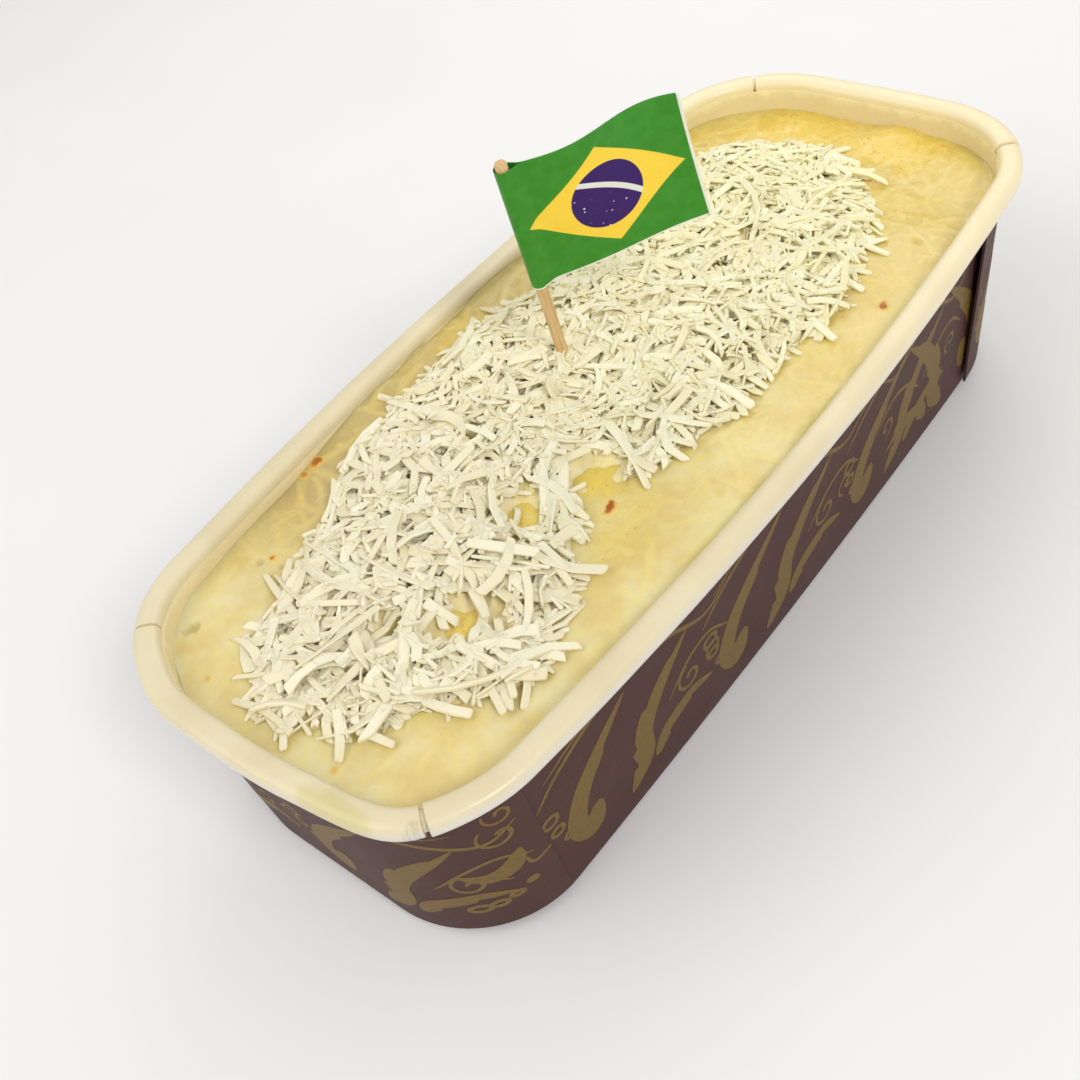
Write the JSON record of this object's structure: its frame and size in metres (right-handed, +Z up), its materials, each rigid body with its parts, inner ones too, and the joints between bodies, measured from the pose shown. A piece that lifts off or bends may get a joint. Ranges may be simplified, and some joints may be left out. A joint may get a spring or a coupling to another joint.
{
  "type": "coconut cake",
  "caption": "Moist coconut loaf cake in a rolled-rim paper baking tray, topped with a band of shredded coconut and a small paper flag on a wooden pick.",
  "frame": {"origin": "middle of the tray's underside", "axes": "+X along the tray from the end nearer the camera to the far end, +Y across it, +Z up through the open top"},
  "size_m": [0.181, 0.08, 0.0863],
  "materials": {
    "tray_board": "matt dark brown printed board with dull gold ornament, coated cream white inside and on the rolled rim",
    "cake": "moist pale yellow cake with a thin wet shine and coconut buried in its top",
    "coconut": "dry matt white shredded coconut",
    "pick_wood": "plain pale wood",
    "flag_paper": "printed paper, green with a yellow rhombus and a violet-blue disc"
  },
  "bodies": {
    "root": {"tray": "tray_board", "cake": "cake", "coconut": "coconut", "pick": "pick_wood", "flag": "flag_paper"}
  },
  "joints": []
}
